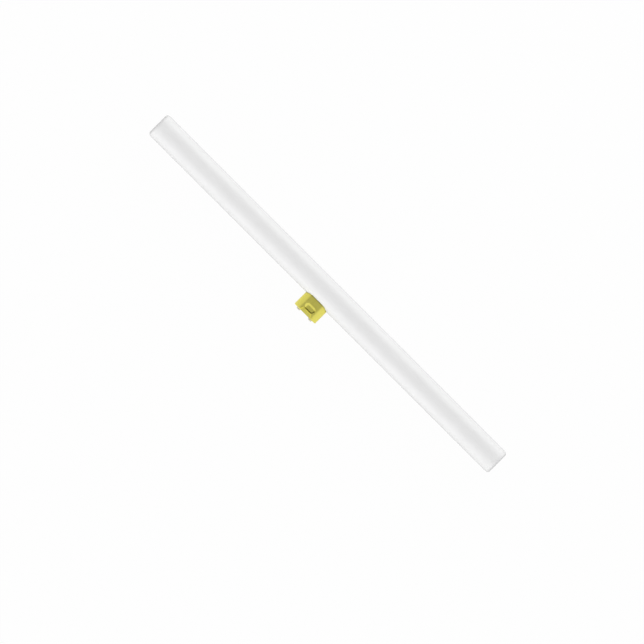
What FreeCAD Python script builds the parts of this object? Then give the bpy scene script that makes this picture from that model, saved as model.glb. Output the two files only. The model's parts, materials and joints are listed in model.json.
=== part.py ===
import FreeCAD, Part
import os
import Sketcher
from FreeCAD import Placement, Rotation, Vector
from math import pi

# A tubular lamp: a sealed opal tube with one flat cap on its side at mid-length.
#
# The lamp is modelled in its own frame: the tube's axis lies along X, and the cap points along -Y
# with its broad faces towards +Z and -Z. Each piece is then rolled about the tube's axis and
# lifted, so that the lamp lies as it comes to rest: on the tube, with the lower edge of the cap's
# end touching the same surface.

# Driving dimensions, in millimetres and degrees
SIZES = {
    # Opal tube
    "tube_length": 500.0,
    "tube_diameter": 29.3,
    "tube_end_radius": 2.4,
    # Cap shell, pressed from sheet: a flat sleeve with round ends, cut to the tube on its open side
    "cap_length": 30.0,
    "cap_thickness": 16.0,
    "cap_standout": 17.1,
    "cap_offset": -2.3,
    "shell_wall": 0.6,
    "shell_end_radius": 1.1,
    "shell_rim": 2.2,
    "shell_gap": 0.2,
    # Detent that the holder's spring snaps into, pressed into each broad face: it slopes in from
    # the tube's side and from one end, and has steep walls on the other two sides
    "detent_margin": 0.5,
    "detent_width": 6.6,
    "detent_depth": 1.1,
    "detent_end_slope": 2.4,
    "detent_upper_slope": 2.0,
    "detent_steep_wall": 0.3,
    "detent_above_end": 8.1,
    # Lead-in for that spring, pressed into each broad face: it widens and deepens towards the cap's end
    "lead_in_overhang": 0.8,
    "lead_in_spread": 1.5,
    "lead_in_root_depth": 0.7,
    "lead_in_slope": 10.0,
    "lead_in_flank_angle": 42.0,
    # Rounding along the edge of each detent, and the land between detent and lead-in
    "pressed_edge_radius": 0.3,
    "pressed_land": 0.7,
    # Contact block: the moulded insulator inside the shell
    "block_clearance": 0.1,
    "block_recess": 0.25,
    "block_gap": 0.1,
    # Contacts: two headed pins pressed into the block
    "contact_inset": 6.75,
    "contact_diameter": 4.8,
    "contact_standout": 1.7,
    "contact_chamfer": 0.75,
    "shank_diameter": 2.4,
    "shank_length": 7.0,
    "shank_point": 0.4,
}

# How near a point must lie to a plane to count as in it, in millimetres
FIT = 0.001

# Places that more than one piece shares, as expressions of the sheet's cells
TUBE_RADIUS = "Sizes.tube_diameter / 2"
CAP_END = f"({TUBE_RADIUS} + Sizes.cap_standout)"
CAP_FLOOR = f"({CAP_END} - Sizes.shell_wall)"
BLOCK_FACE = f"({CAP_END} - Sizes.block_recess)"
FLAT_LENGTH = "(Sizes.cap_length - Sizes.cap_thickness)"
BROAD_FACE = "(Sizes.cap_thickness / 2)"
CONTACT_PLACE = "(Sizes.cap_length / 2 - Sizes.contact_inset)"

# Detent and lead-in, over their mouths in the broad face
DETENT_LENGTH = f"({FLAT_LENGTH} - 2 * Sizes.detent_margin)"
DETENT_OUT = f"({CAP_END} - Sizes.detent_above_end)"
LEAD_IN_REACH = "(Sizes.detent_above_end - Sizes.detent_width / 2 - Sizes.pressed_land)"
LEAD_IN_OUT = f"({CAP_END} - {LEAD_IN_REACH})"
LEAD_IN_END_WIDTH = f"({FLAT_LENGTH} + 2 * Sizes.lead_in_overhang)"
LEAD_IN_ROOT_WIDTH = f"({LEAD_IN_END_WIDTH} - 2 * Sizes.lead_in_spread)"
LEAD_IN_END_DEPTH = f"(Sizes.lead_in_root_depth + {LEAD_IN_REACH} * tan(Sizes.lead_in_slope))"

# The roll turns the cap down until the rounded edge of its end touches the surface under the tube,
# beside the lead-in. That edge's centre of curvature lies EDGE_OUT from the tube's axis along the
# cap and EDGE_SIDE beside it.
EDGE_OUT = f"({CAP_END} - Sizes.shell_end_radius)"
EDGE_SIDE = f"({BROAD_FACE} - Sizes.shell_end_radius)"
EDGE_DROP = f"({TUBE_RADIUS} - Sizes.shell_end_radius)"
ROLL = f"(asin({EDGE_DROP} / sqrt({EDGE_OUT} ^ 2 + {EDGE_SIDE} ^ 2)) - atan({EDGE_SIDE} / {EDGE_OUT}))"

# How far the rolled lamp reaches on the cap's side: to that edge or to the rims of the contacts' tips
TIP_OUT = f"({CAP_END} + Sizes.contact_standout)"
TIP_SIDE = "(Sizes.contact_diameter / 2 - Sizes.contact_chamfer)"
EDGE_REACH = f"{EDGE_OUT} * cos{ROLL} + {EDGE_SIDE} * sin{ROLL} + Sizes.shell_end_radius"
TIP_REACH = f"{TIP_OUT} * cos{ROLL} + {TIP_SIDE} * sin{ROLL}"
SHIFT = f"(max({EDGE_REACH}; {TIP_REACH}) - {TUBE_RADIUS}) / 2"


def fill_sheet(doc):
    """Writes each driving dimension into a cell of its own and names the cell after it."""
    sheet = doc.addObject("Spreadsheet::Sheet", "Sizes")
    for row, (name, value) in enumerate(SIZES.items(), start=1):
        cell = f"A{row}"
        sheet.set(cell, str(value))
        sheet.setAlias(cell, name)
    doc.recompute()


def value(doc, name):
    return float(doc.Sizes.get(name))


def new_body(doc, label):
    body = doc.addObject("PartDesign::Body", label)
    body.Label = label
    return body


def origin_feature(body, role):
    return next(feature for feature in body.Origin.OriginFeatures if feature.Role == role)


def new_sketch(body, name, role, offset=None):
    """A sketch on one of the body's origin planes, moved along the plane's normal by an expression."""
    sketch = body.newObject("Sketcher::SketchObject", name)
    sketch.AttachmentSupport = [(origin_feature(body, role), "")]
    sketch.MapMode = "FlatFace"
    if offset:
        sketch.setExpression("AttachmentOffset.Base.z", offset)
    return sketch


def bind(sketch, name, start, size, *constraint):
    """Adds a named constraint with a starting value and ties it to an expression of the sheet."""
    index = sketch.addConstraint(Sketcher.Constraint(*constraint, start))
    sketch.renameConstraint(index, name)
    sketch.setExpression(f"Constraints.{name}", size)


def draw_circle(sketch, radius, centre_x=None):
    """A circle about the sketch's origin, or beside it on the horizontal axis."""
    start_x = 5.0 if centre_x else 0.0
    start_radius = 2.0
    outline = Part.Circle(Vector(start_x, 0, 0), Vector(0, 0, 1), start_radius)
    circle = sketch.addGeometry(outline)
    if centre_x:
        sketch.addConstraint(Sketcher.Constraint("PointOnObject", circle, 3, -1))
        bind(sketch, "centre_x", start_x, centre_x, "DistanceX", -1, 1, circle, 3)
    else:
        sketch.addConstraint(Sketcher.Constraint("Coincident", circle, 3, -1, 1))
    bind(sketch, "radius", start_radius, radius, "Radius", circle)


def draw_stadium(sketch, length, width, below=None, beside=None):
    """Two straight sides joined by half circles, centred on the origin or below and beside it."""
    start_y, half, radius = (-24.0, 3.0, 3.0) if below else (0.0, 8.0, 6.0)
    upper = start_y + radius
    lower = start_y - radius
    top_line = Part.LineSegment(Vector(-half, upper, 0), Vector(half, upper, 0))
    bottom_line = Part.LineSegment(Vector(half, lower, 0), Vector(-half, lower, 0))
    right_circle = Part.Circle(Vector(half, start_y, 0), Vector(0, 0, 1), radius)
    left_circle = Part.Circle(Vector(-half, start_y, 0), Vector(0, 0, 1), radius)
    top = sketch.addGeometry(top_line)
    right = sketch.addGeometry(Part.ArcOfCircle(right_circle, -pi / 2, pi / 2))
    bottom = sketch.addGeometry(bottom_line)
    left = sketch.addGeometry(Part.ArcOfCircle(left_circle, pi / 2, 3 * pi / 2))
    for first, first_end, second, second_end in (
            (top, 2, right, 2), (right, 1, bottom, 1), (bottom, 2, left, 2), (left, 1, top, 1)):
        sketch.addConstraint(Sketcher.Constraint("Tangent", first, first_end, second, second_end))
    sketch.addConstraint(Sketcher.Constraint("Horizontal", top))
    if beside:
        right_centre = f"{beside} + ({length} - ({width})) / 2"
        sketch.addConstraint(Sketcher.Constraint("Equal", left, right))
        bind(sketch, "right_centre", half, right_centre, "DistanceX", -1, 1, right, 3)
    else:
        sketch.addConstraint(Sketcher.Constraint("Symmetric", left, 3, right, 3, -2))
    bind(sketch, "end_radius", radius, f"({width}) / 2", "Radius", right)
    bind(sketch, "centres", 2 * half, f"({length}) - ({width})", "DistanceX", left, 3, right, 3)
    if below:
        bind(sketch, "below", -start_y, below, "DistanceY", right, 3, -1, 1)
    else:
        sketch.addConstraint(Sketcher.Constraint("PointOnObject", right, 3, -1))


def draw_polygon(sketch, corners):
    """Straight sides from corner to corner, joined into a closed outline."""
    following = corners[1:] + corners[:1]
    sides = [sketch.addGeometry(Part.LineSegment(corner, next_corner))
             for corner, next_corner in zip(corners, following)]
    for side, next_side in zip(sides, sides[1:] + sides[:1]):
        sketch.addConstraint(Sketcher.Constraint("Coincident", side, 2, next_side, 1))
    return sides


def draw_trapezoid(sketch, root_width, end_width, root_below, end_below):
    """A symmetrical trapezoid below the horizontal axis. Its root is the upper edge."""
    corners = [Vector(-6, -1, 0), Vector(6, -1, 0), Vector(8, -9, 0), Vector(-8, -9, 0)]
    root, _, end, _ = draw_polygon(sketch, corners)
    sketch.addConstraint(Sketcher.Constraint("Symmetric", root, 1, root, 2, -2))
    sketch.addConstraint(Sketcher.Constraint("Symmetric", end, 1, end, 2, -2))
    bind(sketch, "root_width", 12, root_width, "DistanceX", root, 1, root, 2)
    bind(sketch, "end_width", 16, end_width, "DistanceX", end, 2, end, 1)
    bind(sketch, "root_below", 1, root_below, "DistanceY", root, 1, -1, 1)
    bind(sketch, "end_below", 9, end_below, "DistanceY", end, 1, -1, 1)


def add_pad(body, name, sketch, length):
    """Extrudes a sketch along its normal."""
    pad = body.newObject("PartDesign::Pad", name)
    pad.Profile = sketch
    pad.setExpression("Length", length)
    return pad


def add_pocket(body, name, sketch, length=None, taper=None, both_ways=False, outwards=False):
    """Cuts a sketch against its normal, or along it if outwards, by a length or through all."""
    pocket = body.newObject("PartDesign::Pocket", name)
    pocket.Profile = sketch
    pocket.Midplane = both_ways
    pocket.Reversed = outwards
    if length:
        pocket.setExpression("Length", length)
    else:
        pocket.Type = "ThroughAll"
    if taper:
        pocket.setExpression("TaperAngle", taper)
    return pocket


def add_mirror(body, name, features, role):
    """Repeats features on the other side of one of the body's origin planes."""
    mirror = body.newObject("PartDesign::Mirrored", name)
    mirror.Originals = features
    mirror.MirrorPlane = (origin_feature(body, role), [""])
    body.Tip = mirror
    return mirror


def add_fillet(body, name, base, edges, radius):
    fillet = body.newObject("PartDesign::Fillet", name)
    fillet.Base = (base, edges)
    fillet.setExpression("Radius", radius)
    return fillet


def add_chamfer(body, name, base, edges, size):
    chamfer = body.newObject("PartDesign::Chamfer", name)
    chamfer.Base = (base, edges)
    chamfer.setExpression("Size", size)
    return chamfer


def edge_names(feature, wanted):
    """The names of the feature's edges for which the test holds."""
    return [f"Edge{i}" for i, edge in enumerate(feature.Shape.Edges, start=1) if wanted(edge)]


def points_along(edge):
    """The ends and the middle of an edge."""
    return [edge.valueAt(edge.FirstParameter + share * (edge.LastParameter - edge.FirstParameter))
            for share in (0, 0.5, 1)]


def lies_at(edge, axis, place):
    """Whether the whole edge lies in the plane at this place on an axis."""
    return all(abs(getattr(point, axis) - place) < FIT for point in points_along(edge))


def lay_tube(body):
    """Rolls the tube about its axis, lifts it onto the surface and centres the lamp's footprint."""
    body.Placement = Placement(Vector(0, 1, 1), Rotation(Vector(1, 0, 0), 1))
    body.setExpression("Placement.Base.y", SHIFT)
    body.setExpression("Placement.Base.z", TUBE_RADIUS)
    body.setExpression("Placement.Rotation.Angle", ROLL)


def lay_with_tube(piece, place):
    """Places a piece of the cap along the tube, and rolls and lifts it as the tube is."""
    piece.Placement = Placement(Vector(0, 1, 1), Rotation(Vector(1, 0, 0), 1))
    piece.setExpression("Placement.Base.x", place)
    for setting in ("Placement.Base.y", "Placement.Base.z", "Placement.Rotation.Angle"):
        piece.setExpression(setting, f"opal_tube.{setting}")


def opal_tube(doc):
    """The sealed bulb: a straight tube with flat ends and rounded end edges."""
    body = new_body(doc, "opal_tube")
    section = new_sketch(body, "TubeSection", "YZ_Plane")
    draw_circle(section, TUBE_RADIUS)
    pad = add_pad(body, "TubeLength", section, "Sizes.tube_length")
    pad.Midplane = True
    doc.recompute()
    rims = edge_names(pad, lambda edge: edge.Curve.TypeId == "Part::GeomCircle")
    add_fillet(body, "TubeEnds", pad, rims, "Sizes.tube_end_radius")
    lay_tube(body)
    return body


def draw_detent(body, name, inset, sign):
    """The detent's outline as far below its mouth as it is deep, or as far above it.

    The walls are straight from the one outline to the other. The inset moves them into the body.
    """
    def wall(run):
        """How far this outline lies outside the mouth at a wall that runs in over this length."""
        slant = f"sqrt(Sizes.detent_depth ^ 2 + {run} ^ 2)"
        return f"({sign}{run} + {inset} * ({slant} - {run}) / Sizes.detent_depth)"

    end = wall("Sizes.detent_end_slope")
    upper = wall("Sizes.detent_upper_slope")
    steep = wall("Sizes.detent_steep_wall")
    sketch = new_sketch(
        body, name, "XY_Plane", f"{BROAD_FACE} {sign} Sizes.detent_depth - {inset}")
    draw_stadium(
        sketch,
        f"({DETENT_LENGTH} + {end} + {steep})",
        f"(Sizes.detent_width + {upper} + {steep})",
        f"{DETENT_OUT} + ({steep} - {upper}) / 2",
        f"({steep} - {end}) / 2")
    return sketch


def press_forms(body, inset):
    """Cuts a detent and a lead-in into each broad face, with walls moved inwards by the inset."""
    detent = body.newObject("PartDesign::SubtractiveLoft", "Detent")
    detent.Profile = draw_detent(body, "DetentFloor", inset, "-")
    detent.Sections = [draw_detent(body, "DetentOpening", inset, "+")]
    detent.Ruled = True

    angle = "Sizes.lead_in_flank_angle"
    slope = "Sizes.lead_in_slope"
    lean = f"tan({angle}) * cos({slope})"
    wider = f"2 * {inset} * (1 - sin({angle})) / cos({angle})"
    root_width = f"({LEAD_IN_ROOT_WIDTH} - 2 * Sizes.lead_in_root_depth * {lean} + {wider})"
    end_width = f"({LEAD_IN_END_WIDTH} - 2 * {LEAD_IN_END_DEPTH} * {lean} + {wider})"
    root_floor = f"{BROAD_FACE} - Sizes.lead_in_root_depth - {inset} / cos({slope})"
    lead_in_floor = new_sketch(body, "LeadInFloor", "XY_Plane", root_floor)
    lead_in_floor.AttachmentOffset = Placement(Vector(0, -1, 1), Rotation(Vector(1, 0, 0), 1))
    lead_in_floor.setExpression("AttachmentOffset.Base.y", f"-{LEAD_IN_OUT}")
    lead_in_floor.setExpression("AttachmentOffset.Rotation.Angle", slope)
    draw_trapezoid(
        lead_in_floor,
        root_width,
        f"2 * {end_width} - {root_width}",
        f"Sizes.lead_in_root_depth * ({lean} - sin({slope})) - {wider} / 2",
        f"2 * {LEAD_IN_REACH} / cos({slope})")
    lead_in = add_pocket(
        body, "LeadIn", lead_in_floor, f"2 * {LEAD_IN_END_DEPTH}", angle, outwards=True)
    return add_mirror(body, "OtherFace", [detent, lead_in], "XY_Plane")


def cap_outside(doc):
    """The shell's outer form: a sleeve with a rounded end edge, the pressed forms and the saddle."""
    body = new_body(doc, "cap_outside")
    sleeve_section = new_sketch(body, "SleeveSection", "XZ_Plane")
    draw_stadium(sleeve_section, "Sizes.cap_length", "Sizes.cap_thickness")
    sleeve = add_pad(body, "Sleeve", sleeve_section, CAP_END)
    doc.recompute()
    end = value(doc, "tube_diameter") / 2 + value(doc, "cap_standout")
    end_edges = edge_names(sleeve, lambda edge: lies_at(edge, "y", -end))
    add_fillet(body, "EndRound", sleeve, end_edges, "Sizes.shell_end_radius")
    doc.recompute()
    pressed = press_forms(body, "0")
    doc.recompute()

    # Rounding along the mouths of the two detents: the edges in the broad faces that lie between
    # the tube and the land
    face = value(doc, "cap_thickness") / 2
    side = (value(doc, "cap_length") - value(doc, "cap_thickness")) / 2
    land = end - value(doc, "detent_above_end") + value(doc, "detent_width") / 2

    def on_mouth(edge):
        in_face = lies_at(edge, "z", face) or lies_at(edge, "z", -face)
        in_reach = all(abs(point.x) < side - FIT and -land - FIT < point.y < -FIT
                       for point in points_along(edge))
        return in_face and in_reach

    mouth_edges = edge_names(pressed, on_mouth)
    add_fillet(body, "DetentRound", pressed, mouth_edges, "Sizes.pressed_edge_radius")
    doc.recompute()
    saddle_section = new_sketch(body, "SaddleSection", "YZ_Plane")
    draw_circle(saddle_section, f"{TUBE_RADIUS} + Sizes.shell_gap")
    add_pocket(body, "Saddle", saddle_section, both_ways=True)
    return body


def cap_inside(doc):
    """The shell's inner form: a wall's thickness inside the outer one, with the window in the end."""
    body = new_body(doc, "cap_inside")
    hollow_section = new_sketch(body, "HollowSection", "XZ_Plane")
    draw_stadium(
        hollow_section,
        "Sizes.cap_length - 2 * Sizes.shell_wall",
        "Sizes.cap_thickness - 2 * Sizes.shell_wall")
    add_pad(body, "Hollow", hollow_section, CAP_FLOOR)
    doc.recompute()
    press_forms(body, "Sizes.shell_wall")
    doc.recompute()
    window_section = new_sketch(body, "WindowSection", "XZ_Plane", CAP_FLOOR)
    draw_stadium(
        window_section,
        "Sizes.cap_length - 2 * Sizes.shell_rim",
        "Sizes.cap_thickness - 2 * Sizes.shell_rim")
    add_pad(body, "Window", window_section, "2 * Sizes.shell_wall")
    return body


def cap_shell(doc):
    """The pressed sheet shell: its outer form less its inner form."""
    shell = doc.addObject("Part::Cut", "cap_shell")
    shell.Label = "cap_shell"
    shell.Base = cap_outside(doc)
    shell.Tool = cap_inside(doc)
    lay_with_tube(shell, "Sizes.cap_offset")
    return shell


def contact_block(doc):
    """The insulator: it fills the shell, shows in its window and holds the contacts."""
    body = new_body(doc, "contact_block")
    block_section = new_sketch(body, "BlockSection", "XZ_Plane")
    inset = "(Sizes.shell_wall + Sizes.block_clearance)"
    draw_stadium(block_section, f"Sizes.cap_length - 2 * {inset}", f"Sizes.cap_thickness - 2 * {inset}")
    add_pad(body, "Block", block_section, CAP_FLOOR)

    # A channel along each broad face, open at the end, that clears the shell's pressed forms
    depth = f"max(Sizes.detent_depth; {LEAD_IN_END_DEPTH})"
    width = f"{LEAD_IN_END_WIDTH} + 2 * {inset}"
    root = f"{DETENT_OUT} - Sizes.detent_width / 2 - {inset}"
    channel_floor = new_sketch(
        body, "ChannelFloor", "XY_Plane", f"{BROAD_FACE} - {depth} - {inset}")
    draw_trapezoid(channel_floor, width, width, root, f"2 * {CAP_END}")
    channel = add_pocket(body, "Channel", channel_floor, f"2 * {depth}", outwards=True)
    add_mirror(body, "OtherChannel", [channel], "XY_Plane")

    plate_section = new_sketch(body, "PlateSection", "XZ_Plane", CAP_FLOOR)
    inset = "(Sizes.shell_rim + Sizes.block_clearance)"
    draw_stadium(plate_section, f"Sizes.cap_length - 2 * {inset}", f"Sizes.cap_thickness - 2 * {inset}")
    add_pad(body, "Plate", plate_section, "Sizes.shell_wall - Sizes.block_recess")
    saddle_section = new_sketch(body, "SaddleSection", "YZ_Plane")
    draw_circle(saddle_section, f"{TUBE_RADIUS} + Sizes.block_gap")
    add_pocket(body, "Saddle", saddle_section, both_ways=True)
    bore_circle = new_sketch(body, "BoreCircle", "XZ_Plane", BLOCK_FACE)
    draw_circle(bore_circle, "Sizes.shank_diameter / 2", CONTACT_PLACE)
    right_bore = add_pocket(body, "RightBore", bore_circle, "Sizes.shank_length")
    add_mirror(body, "BothBores", [right_bore], "YZ_Plane")
    lay_with_tube(body, "Sizes.cap_offset")
    return body


def contact(doc, label, place):
    """One contact: a round head outside the block and a shank pressed into its bore."""
    body = new_body(doc, label)
    profile = new_sketch(body, "Profile", "XY_Plane")
    corners = [
        Vector(0, -24, 0), Vector(1, -24, 0), Vector(1, -31, 0),
        Vector(2, -31, 0), Vector(2, -33, 0), Vector(0, -33, 0)]
    sides = draw_polygon(profile, corners)
    for i, side in enumerate(sides):
        profile.addConstraint(Sketcher.Constraint("Vertical" if i % 2 else "Horizontal", side))
    point, shank, shoulder, _, tip, axis = sides
    profile.addConstraint(Sketcher.Constraint("PointOnObject", axis, 1, -2))
    bind(profile, "shank_radius", 1, "Sizes.shank_diameter / 2", "DistanceX", point, 1, point, 2)
    bind(profile, "head_radius", 2, "Sizes.contact_diameter / 2", "DistanceX", tip, 2, tip, 1)
    bind(profile, "shank_length", 7, "Sizes.shank_length", "DistanceY", shank, 2, shank, 1)
    bind(profile, "shoulder_below", 31, BLOCK_FACE, "DistanceY", shoulder, 1, -1, 1)
    bind(profile, "tip_below", 33, TIP_OUT, "DistanceY", tip, 1, -1, 1)
    turned = body.newObject("PartDesign::Revolution", "Turned")
    turned.Profile = profile
    turned.ReferenceAxis = (profile, ["V_Axis"])
    turned.Angle = 360
    doc.recompute()
    end = value(doc, "tube_diameter") / 2 + value(doc, "cap_standout")
    outer = end + value(doc, "contact_standout")
    inner = end - value(doc, "block_recess") - value(doc, "shank_length")
    tip_edges = edge_names(turned, lambda edge: lies_at(edge, "y", -outer))
    tip_bevel = add_chamfer(body, "TipBevel", turned, tip_edges, "Sizes.contact_chamfer")
    doc.recompute()
    point_edges = edge_names(tip_bevel, lambda edge: lies_at(edge, "y", -inner))
    add_chamfer(body, "ShankPoint", tip_bevel, point_edges, "Sizes.shank_point")
    lay_with_tube(body, place)
    return body


def check(doc, pieces):
    """Stops if any object of the document failed or any piece has no valid shape."""
    for item in doc.Objects:
        if "Invalid" in item.State or "Error" in item.State:
            raise RuntimeError(f"{item.Name} failed: {item.State}")
    for piece in pieces:
        if piece.Shape.isNull() or not piece.Shape.isValid() or len(piece.Shape.Solids) != 1:
            raise RuntimeError(f"{piece.Label} has no valid solid")


def main():
    doc = FreeCAD.newDocument("TubularLamp")
    fill_sheet(doc)
    pieces = [
        opal_tube(doc),
        cap_shell(doc),
        contact_block(doc),
        contact(doc, "contact_left", f"Sizes.cap_offset - {CONTACT_PLACE}"),
        contact(doc, "contact_right", f"Sizes.cap_offset + {CONTACT_PLACE}"),
    ]
    doc.recompute()
    check(doc, pieces)
    os.makedirs("parts", exist_ok=True)
    for piece in pieces:
        piece.Shape.exportStep(f"parts/{piece.Label}.step")
        print(f"{piece.Label}: {piece.Shape.Volume:.1f} cubic mm")
    return doc, pieces


main()
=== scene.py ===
import json
from math import cos, pi, radians, sin, tan

import bpy
from mathutils import Matrix, Vector


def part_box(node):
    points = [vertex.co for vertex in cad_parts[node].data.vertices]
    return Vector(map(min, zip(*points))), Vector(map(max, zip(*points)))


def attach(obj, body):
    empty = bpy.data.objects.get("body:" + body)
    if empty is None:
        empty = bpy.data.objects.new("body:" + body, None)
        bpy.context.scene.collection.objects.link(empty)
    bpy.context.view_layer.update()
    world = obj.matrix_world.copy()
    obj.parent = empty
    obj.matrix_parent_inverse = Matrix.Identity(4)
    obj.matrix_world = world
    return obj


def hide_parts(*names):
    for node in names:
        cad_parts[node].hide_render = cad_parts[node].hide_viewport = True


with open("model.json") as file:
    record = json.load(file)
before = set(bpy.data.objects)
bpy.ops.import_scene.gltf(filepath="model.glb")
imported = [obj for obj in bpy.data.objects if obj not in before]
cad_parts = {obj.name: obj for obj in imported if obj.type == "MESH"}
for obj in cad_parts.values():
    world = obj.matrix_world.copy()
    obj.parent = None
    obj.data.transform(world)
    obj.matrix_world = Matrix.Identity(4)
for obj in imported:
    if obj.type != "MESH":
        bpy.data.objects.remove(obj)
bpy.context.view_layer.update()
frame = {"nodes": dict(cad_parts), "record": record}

MM = 0.001
WHITE = (1.0, 1.0, 1.0, 1.0)

# The lamp's own directions where it lies: along the tube, from the cap towards the tube, and out
# of the broad face
MOUNTS = {mount["name"]: mount for mount in frame["record"]["mounts"]}
ALONG = Vector((1, 0, 0))
AWAY = -Vector(MOUNTS["cap_plug"]["axis"])
FACING = ALONG.cross(AWAY)

# The tube's ends: their rounding, the sides of the tube, the steps in the rounding, and how far
# past it the next ring of points lies
END_RADIUS = 3.5 * MM
TUBE_SIDES = 96
END_STEPS = 7
END_LAND = 0.4 * MM

# The scale, detail and roughness of each noise
OPAL_CLOUD = (45.0, 3.0, 0.5)
OPAL_GLOSS = (220.0, 4.0, 0.6)
OPAL_WAVE = (30.0, 1.0, 0.5)
CAP_CLOUD = (160.0, 4.0, 0.55)
CAP_GRAIN = (1400.0, 3.0, 0.6)
INSULATOR_CLOUD = (300.0, 4.0, 0.5)
CONTACT_CLOUD = (700.0, 4.0, 0.5)

# The two colours of each surface, and the values of the noise at which each is pure
OPAL_TINTS = ((0.865, 0.865, 0.865), (0.88, 0.88, 0.88))
CAP_TINTS = ((0.905, 0.827, 0.166), (0.955, 0.878, 0.197))
INSULATOR_TINTS = ((0.68, 0.65, 0.57), (0.73, 0.71, 0.64))
CONTACT_TINTS = ((0.74, 0.71, 0.54), (0.84, 0.81, 0.64))
TINT_STOPS = (0.3, 0.7)

# The least and the greatest roughness of each surface
OPAL_ROUGHNESS = (0.24, 0.34)
CAP_ROUGHNESS = (0.32, 0.46)
INSULATOR_ROUGHNESS = (0.5, 0.65)
CONTACT_ROUGHNESS = (0.28, 0.42)

# The strength and the height of the fine relief
OPAL_RELIEF = (0.015, 0.4 * MM)
CAP_RELIEF = (0.15, 0.05 * MM)
INSULATOR_RELIEF = (0.2, 0.05 * MM)

# The opal glass, and the clear skin on it that dims it towards the edges
OPAL_GLASS = {
    "IOR": 1.5, "Specular IOR Level": 0.05,
    "Subsurface Weight": 0.15, "Subsurface Radius": (1.0, 1.0, 1.0), "Subsurface Scale": 4 * MM,
    "Coat Weight": 1.0, "Coat IOR": 1.12, "Coat Roughness": 0.2,
    "Coat Tint": (0.815, 0.815, 0.815, 1.0)}

# The steep sides of a detent lie towards +X and towards the cap's end, and shade is painted on
# the metal along them: a darker colour stands in for the shadow in the detent's corner, inside a
# line like the detent's mouth. Here are the middle of that line, half of its straight part and the
# radius of its round ends; between which depths inside it the painted shade fades in, at its inner
# side and at its outer one; between which values it fades in along the line, where 0 is square to
# the steep direction; its share where it is full; and the painted shade's colour
DARK_LEFT = 0.25 * MM
DARK_DOWN = 0.4 * MM
DARK_MIDDLE = Vector(MOUNTS["detent_upper"]["pos_m"]) - ALONG * DARK_LEFT - AWAY * DARK_DOWN
DARK_STRAIGHT = 3.2 * MM
DARK_RADIUS = 3.3 * MM
DARK_INNER = (1.5 * MM, 0.9 * MM)
DARK_OUTER = (-0.3 * MM, 0.1 * MM)
DARK_STEEP = (0.25, 0.85)
PAINTED_SHADE_SHARE = 0.85
PAINTED_SHADE_COLOUR = (0.24, 0.205, 0.035, 1.0)

# Shade is painted on the cap's edge at the tube too, where the tube shades the joint: how far from
# the tube's axis that starts and is full, and its share
JOINT_SHADE_REACH = (16.2 * MM, 15.4 * MM)
JOINT_SHADE_SHARE = 0.3

# The floor's half width, its own paint, and how much of that gives way to plain white, for the
# camera and for reflections
FLOOR_REACH = 6.0
FLOOR_PAINT = (0.5, 0.5, 0.5, 1.0)
WHITE_TO_CAMERA = 0.98
WHITE_TO_GLOSS = 0.75

# Light: the world's radiance, and the dim opening in it, by the cosines of its angles; how far
# the opening leans towards -X; how much brighter the world is towards +X than the mean; and the
# two strips beside the tube, each from one angle to the other with its radiance
AMBIENT = 0.792
AMBIENT_CORE = 0.16
OPENING_LEAN = 0.08
OPENING = (FACING - ALONG * OPENING_LEAN).normalized()
OPENING_EDGE = cos(radians(26))
OPENING_CORE = cos(radians(6))
LEAN = 0.07
STRIP_LENGTH = 2.6
STRIP_DISTANCE = 2.0
STRIPS = {"strip_front": (-77, -64, 10.2), "strip_back": (66, 94, 4.6)}

# The camera: how wide the photo's frame is at the lamp, where the tube's middle lies from the
# frame's middle, and how far off the camera is and sees
FRAME_WIDTH = 670.4 * MM
TUBE_RIGHT = 5.97 * MM
TUBE_UP = 29.48 * MM
CAMERA_DISTANCE = 3.0
CAMERA_REACH = 20.0


def glass_tube():
    """The tube, as long and as thick as its solid, with its ends rounded as in the photo."""
    low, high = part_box("opal_tube")
    middle = (low + high) / 2
    half = (high - low) / 2
    end = [(half.x, half.z - END_RADIUS - END_LAND)]
    for step in range(END_STEPS + 1):
        angle = pi / 2 * (1 - step / END_STEPS)
        end.append((half.x - END_RADIUS * (1 - sin(angle)), half.z - END_RADIUS * (1 - cos(angle))))
    end.append((half.x - END_RADIUS - END_LAND, half.z))
    rings = end + [(-x, out) for x, out in reversed(end)]
    points = []
    for x, out in rings:
        for side in range(TUBE_SIDES):
            turn = 2 * pi * side / TUBE_SIDES
            across = out * half.y / half.z * cos(turn)
            points.append(middle + Vector((x, across, out * sin(turn))))
    last = len(points) - TUBE_SIDES
    faces = [tuple(range(TUBE_SIDES)), tuple(reversed(range(last, len(points))))]
    for this in range(0, last, TUBE_SIDES):
        following = this + TUBE_SIDES
        for side in range(TUBE_SIDES):
            beside = (side + 1) % TUBE_SIDES
            faces.append((this + beside, this + side, following + side, following + beside))
    mesh = bpy.data.meshes.new("glass_tube")
    mesh.from_pydata(points, [], faces)
    mesh.shade_smooth()
    tube = bpy.data.objects.new("glass_tube", mesh)
    bpy.context.scene.collection.objects.link(tube)
    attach(tube, "root")
    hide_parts("opal_tube")
    return tube


def adder(tree):
    """The function that adds a node to a node tree, with its inputs and settings."""
    def add(kind, inputs=(), **settings):
        node = tree.nodes.new(kind)
        for key, setting in settings.items():
            setattr(node, key, setting)
        for key, value in dict(inputs).items():
            if isinstance(value, bpy.types.NodeSocket):
                tree.links.new(value, node.inputs[key])
            else:
                node.inputs[key].default_value = value
        return node

    return add


def material(name):
    """An empty node material, and the function that adds a node to it."""
    mat = bpy.data.materials.new(name)
    mat.use_nodes = True
    mat.node_tree.nodes.clear()
    return mat, adder(mat.node_tree)


def noise(add, place, settings):
    scale, detail, roughness = settings
    return add("ShaderNodeTexNoise", {
        "Vector": place, "Scale": scale, "Detail": detail, "Roughness": roughness}).outputs["Fac"]


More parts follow.
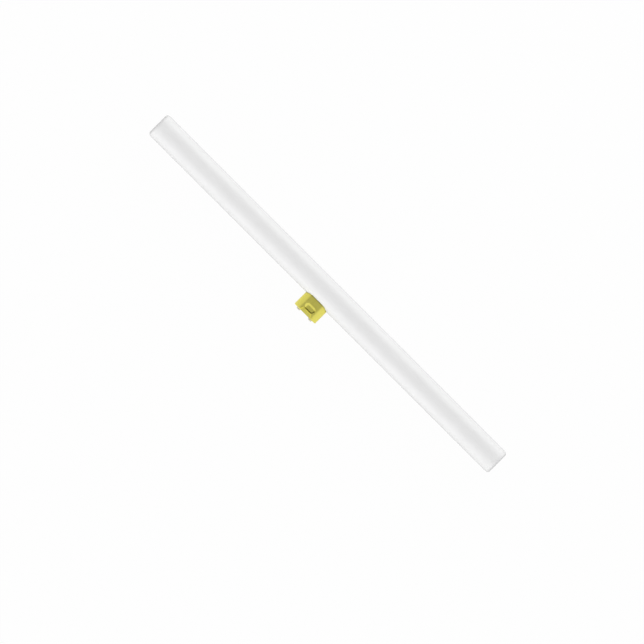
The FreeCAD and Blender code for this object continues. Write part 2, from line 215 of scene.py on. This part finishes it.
def tinted(add, fac, tints):
    """A colour that goes from the first tint to the second one as a noise rises."""
    node = add("ShaderNodeValToRGB", {"Fac": fac})
    for element, place, tint in zip(node.color_ramp.elements, TINT_STOPS, tints):
        element.position = place
        element.color = (*tint, 1.0)
    return node.outputs["Color"]


def between(add, fac, limits):
    """A value that goes from the first limit to the second one as a noise rises."""
    low, high = limits
    return add("ShaderNodeMapRange", {
        "Value": fac, "To Min": low, "To Max": high}).outputs["Result"]


def relief(add, fac, settings):
    strength, height = settings
    return add("ShaderNodeBump", {
        "Height": fac, "Strength": strength, "Distance": height}).outputs["Normal"]


def opal_material():
    """White opal glass with a trace of waviness."""
    mat, add = material("opal_glass")
    place = add("ShaderNodeTexCoord").outputs["Object"]
    shader = add("ShaderNodeBsdfPrincipled", {
        "Base Color": tinted(add, noise(add, place, OPAL_CLOUD), OPAL_TINTS),
        "Roughness": between(add, noise(add, place, OPAL_GLOSS), OPAL_ROUGHNESS),
        "Normal": relief(add, noise(add, place, OPAL_WAVE), OPAL_RELIEF),
        **OPAL_GLASS})
    add("ShaderNodeOutputMaterial", {"Surface": shader.outputs["BSDF"]})
    return mat


def with_painted_shade(add, place, colour):
    """Painted shade: darker metal along the steep sides of each detent and along the cap's edge on
    the tube, where shadow falls.
    """
    def math(operation, *values):
        return add("ShaderNodeMath", dict(enumerate(values)), operation=operation).outputs[0]

    def along(axis, start):
        node = add("ShaderNodeVectorMath", {0: place, 1: axis}, operation="DOT_PRODUCT")
        return math("SUBTRACT", node.outputs["Value"], start.dot(axis))

    def length(one, other):
        return math("SQRT", math("ADD", math("MULTIPLY", one, one), math("MULTIPLY", other, other)))

    def fade(value, low, high):
        return add("ShaderNodeMapRange", {"Value": value, "From Min": low, "From Max": high},
                   interpolation_type="SMOOTHSTEP").outputs["Result"]

    side = along(ALONG, DARK_MIDDLE)
    straight = math("MAXIMUM", math("MINIMUM", side, DARK_STRAIGHT), -DARK_STRAIGHT)
    beyond = math("SUBTRACT", side, straight)
    below = along(-AWAY, DARK_MIDDLE)
    reach = length(beyond, below)
    inside = math("SUBTRACT", DARK_RADIUS, reach)
    steep = fade(math("DIVIDE", math("ADD", beyond, below), reach), *DARK_STEEP)
    near = math("MULTIPLY", fade(inside, *DARK_INNER), fade(inside, *DARK_OUTER))
    # Painted shade along the steep sides of each detent
    wall_shade = math("MULTIPLY", math("MULTIPLY", steep, near), PAINTED_SHADE_SHARE)
    low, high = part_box("opal_tube")
    out = length(along(AWAY, (low + high) / 2), along(FACING, (low + high) / 2))
    # Painted shade along the cap's edge on the tube
    joint_shade = math("MULTIPLY", fade(out, *JOINT_SHADE_REACH), JOINT_SHADE_SHARE)
    # Of a colour mix the sockets 6 and 7 are its two colours, and output 2 is the result
    return add("ShaderNodeMix", {0: math("MAXIMUM", wall_shade, joint_shade), 6: colour, 7: PAINTED_SHADE_COLOUR},
               data_type="RGBA").outputs[2]


def cap_material():
    """Yellow-passivated sheet metal with a satin surface, and painted shade in its detents and
    along its edge on the tube.
    """
    mat, add = material("cap_metal")
    place = add("ShaderNodeTexCoord").outputs["Object"]
    colour = tinted(add, noise(add, place, CAP_CLOUD), CAP_TINTS)
    grain = noise(add, place, CAP_GRAIN)
    shader = add("ShaderNodeBsdfPrincipled", {
        # The base colour carries painted shade, darker in the detents and at the edge on the tube
        "Base Color": with_painted_shade(add, place, colour), "Metallic": 1.0,
        "Roughness": between(add, grain, CAP_ROUGHNESS),
        "Normal": relief(add, grain, CAP_RELIEF)})
    add("ShaderNodeOutputMaterial", {"Surface": shader.outputs["BSDF"]})
    return mat


def insulator_material():
    """Pale moulded insulator."""
    mat, add = material("insulator")
    cloud = noise(add, add("ShaderNodeTexCoord").outputs["Object"], INSULATOR_CLOUD)
    shader = add("ShaderNodeBsdfPrincipled", {
        "Base Color": tinted(add, cloud, INSULATOR_TINTS),
        "Roughness": between(add, cloud, INSULATOR_ROUGHNESS),
        "Normal": relief(add, cloud, INSULATOR_RELIEF)})
    add("ShaderNodeOutputMaterial", {"Surface": shader.outputs["BSDF"]})
    return mat


def contact_material():
    """Nickel-plated contacts, turned, with a satin finish."""
    mat, add = material("contact_metal")
    cloud = noise(add, add("ShaderNodeTexCoord").outputs["Object"], CONTACT_CLOUD)
    shader = add("ShaderNodeBsdfPrincipled", {
        "Base Color": tinted(add, cloud, CONTACT_TINTS), "Metallic": 1.0,
        "Roughness": between(add, cloud, CONTACT_ROUGHNESS)})
    add("ShaderNodeOutputMaterial", {"Surface": shader.outputs["BSDF"]})
    return mat


def dress(piece, mat):
    piece.data.materials.clear()
    piece.data.materials.append(mat)


def add_floor():
    """A pale floor that the camera and the gloss see as white, with the lamp's shadow kept."""
    mesh = bpy.data.meshes.new("floor")
    corners = [(-FLOOR_REACH, -FLOOR_REACH, 0), (FLOOR_REACH, -FLOOR_REACH, 0),
               (FLOOR_REACH, FLOOR_REACH, 0), (-FLOOR_REACH, FLOOR_REACH, 0)]
    mesh.from_pydata(corners, [], [(0, 1, 2, 3)])
    floor = bpy.data.objects.new("floor", mesh)
    bpy.context.scene.collection.objects.link(floor)
    mat, add = material("floor")
    paint = add("ShaderNodeBsdfDiffuse", {"Color": FLOOR_PAINT})
    white = add("ShaderNodeEmission", {"Color": WHITE, "Strength": 1.0})
    path = add("ShaderNodeLightPath")
    gloss = add("ShaderNodeMath", {0: path.outputs["Is Glossy Ray"], 1: WHITE_TO_GLOSS},
                operation="MULTIPLY")
    share = add("ShaderNodeMath", {
        0: path.outputs["Is Camera Ray"], 1: WHITE_TO_CAMERA, 2: gloss.outputs[0]},
        operation="MULTIPLY_ADD")
    mix = add("ShaderNodeMixShader", {
        0: share.outputs[0], 1: paint.outputs["BSDF"], 2: white.outputs["Emission"]})
    add("ShaderNodeOutputMaterial", {"Surface": mix.outputs["Shader"]})
    dress(floor, mat)


def add_world():
    """Soft light from all round with a dim opening above the lamp. The camera sees it as white."""
    world = bpy.data.worlds.new("studio")
    bpy.context.scene.world = world
    world.use_nodes = True
    world.node_tree.nodes.clear()
    add = adder(world.node_tree)
    direction = add("ShaderNodeTexCoord").outputs["Generated"]

    def towards(axis):
        node = add("ShaderNodeVectorMath", {0: direction, 1: axis}, operation="DOT_PRODUCT")
        return node.outputs["Value"]

    opening = add("ShaderNodeMapRange", {
        "Value": towards(OPENING), "From Min": OPENING_EDGE, "From Max": OPENING_CORE,
        "To Min": AMBIENT, "To Max": AMBIENT_CORE}, interpolation_type="SMOOTHSTEP")
    lean = add("ShaderNodeMapRange", {
        "Value": towards(ALONG), "From Min": -1.0, "From Max": 1.0,
        "To Min": 1.0 - LEAN, "To Max": 1.0 + LEAN})
    level = add("ShaderNodeMath", {0: opening.outputs["Result"], 1: lean.outputs["Result"]},
                operation="MULTIPLY")
    path = add("ShaderNodeLightPath")
    seen = add("ShaderNodeMix", {
        "Factor": path.outputs["Is Camera Ray"], "A": level.outputs["Value"], "B": 1.0})
    background = add("ShaderNodeBackground", {
        "Color": WHITE, "Strength": seen.outputs["Result"]})
    add("ShaderNodeOutputWorld", {"Surface": background.outputs["Background"]})


def add_strip(name, low, high, radiance):
    """A long soft light beside the tube, between two angles off the broad face's direction.

    It lights the tube and doesn't show in reflections.
    """
    middle = radians((low + high) / 2)
    toward = AWAY * sin(middle) + FACING * cos(middle)
    data = bpy.data.lights.new(name, "AREA")
    data.shape = "RECTANGLE"
    data.size = STRIP_LENGTH
    data.size_y = 2 * STRIP_DISTANCE * tan(radians((high - low) / 2))
    data.energy = radiance * pi * data.size * data.size_y
    light = bpy.data.objects.new(name, data)
    bpy.context.scene.collection.objects.link(light)
    light.visible_camera = False
    light.visible_glossy = False
    turn = Matrix((ALONG, toward.cross(ALONG), toward)).transposed().to_4x4()
    light.matrix_world = Matrix.Translation(toward * STRIP_DISTANCE) @ turn


def add_camera():
    """Square on to the cap's broad face, with the tube from the upper left to the lower right."""
    right = (ALONG + AWAY).normalized()
    up = (AWAY - ALONG).normalized()
    low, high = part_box("opal_tube")
    target = (low + high) / 2 - right * TUBE_RIGHT - up * TUBE_UP
    data = bpy.data.cameras.new("camera")
    data.type = "ORTHO"
    data.ortho_scale = FRAME_WIDTH
    data.clip_end = CAMERA_REACH
    camera = bpy.data.objects.new("camera", data)
    bpy.context.scene.collection.objects.link(camera)
    turn = Matrix((right, up, FACING)).transposed().to_4x4()
    camera.matrix_world = Matrix.Translation(target + FACING * CAMERA_DISTANCE) @ turn
    bpy.context.scene.camera = camera


dress(glass_tube(), opal_material())
dress(frame["nodes"]["cap_shell"], cap_material())
dress(frame["nodes"]["contact_block"], insulator_material())
contact_metal = contact_material()
for name in ("contact_left", "contact_right"):
    dress(frame["nodes"][name], contact_metal)
add_floor()
add_world()
for name, strip in STRIPS.items():
    add_strip(name, *strip)
add_camera()
bpy.context.scene.view_settings.view_transform = "Standard"
